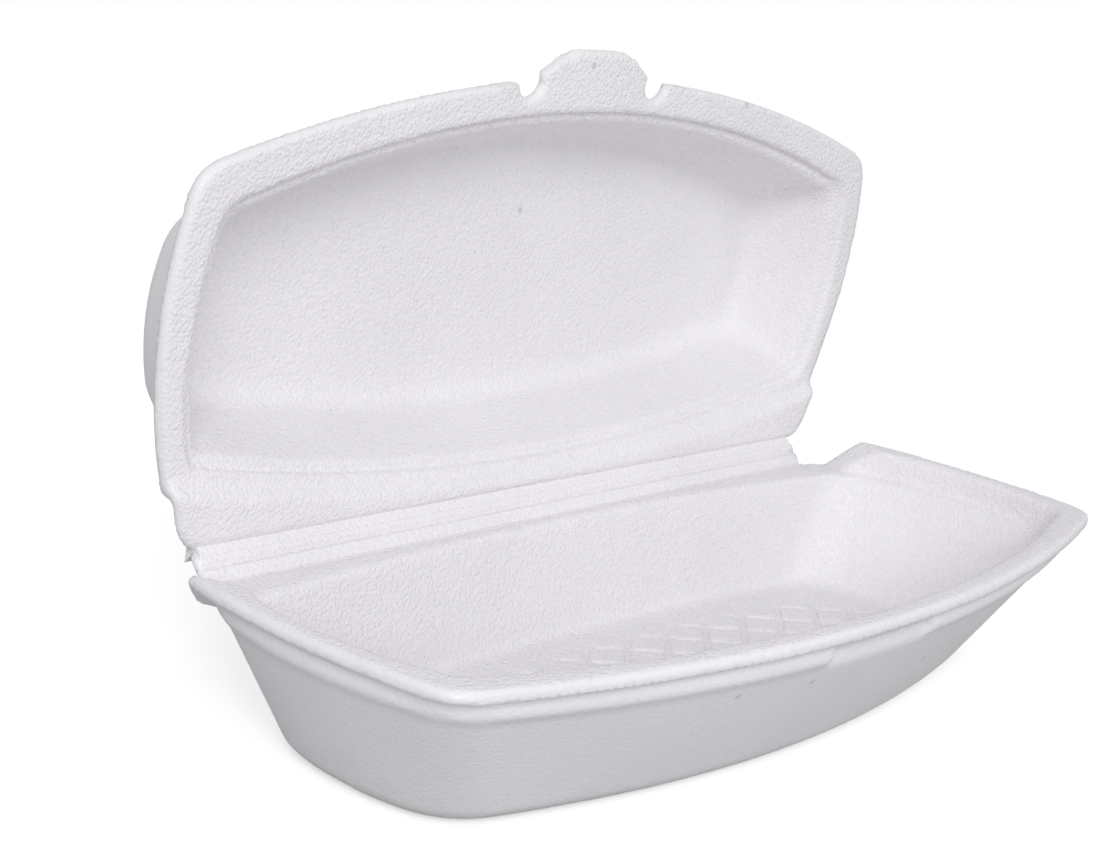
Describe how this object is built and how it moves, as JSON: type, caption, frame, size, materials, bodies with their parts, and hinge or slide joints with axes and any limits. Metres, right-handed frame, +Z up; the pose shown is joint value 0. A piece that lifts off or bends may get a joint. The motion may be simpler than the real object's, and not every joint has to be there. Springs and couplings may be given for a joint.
{
  "type": "foam clamshell container",
  "caption": "Long open clamshell food box thermoformed from white foam sheet, with a deep tray, a shallower hinged lid, a scored hinge strip and a locking tab.",
  "frame": {"origin": "middle of the flat foot that the tray stands on", "axes": "+X along the hinge, -Y towards the open front edge, +Z up"},
  "size_m": [0.184, 0.1038, 0.1101],
  "materials": {
    "foam": "fine-celled matte foam skin with a soft sheen",
    "foam_fold": "pressed foam sheet, a little glossier where it is scored"
  },
  "bodies": {
    "tray": {"tray": "foam"},
    "hinge_strip": {"hinge_strip": "foam_fold"},
    "lid": {"lid": "foam"}
  },
  "joints": [
    {"name": "tray_crease", "type": "hinge", "parent": "tray", "child": "hinge_strip", "pos_m": [0, 0.0346, 0.0231], "axis": [-1, 0, 0], "range_deg": [-42, 48]},
    {"name": "lid_crease", "type": "hinge", "parent": "hinge_strip", "child": "lid", "pos_m": [0, 0.03922, 0.02823], "axis": [-1, 0, 0], "range_deg": [-42, 48]}
  ],
  "couplings": [
    {"joint": "lid_crease", "follows": "tray_crease", "ratio": 1}
  ]
}
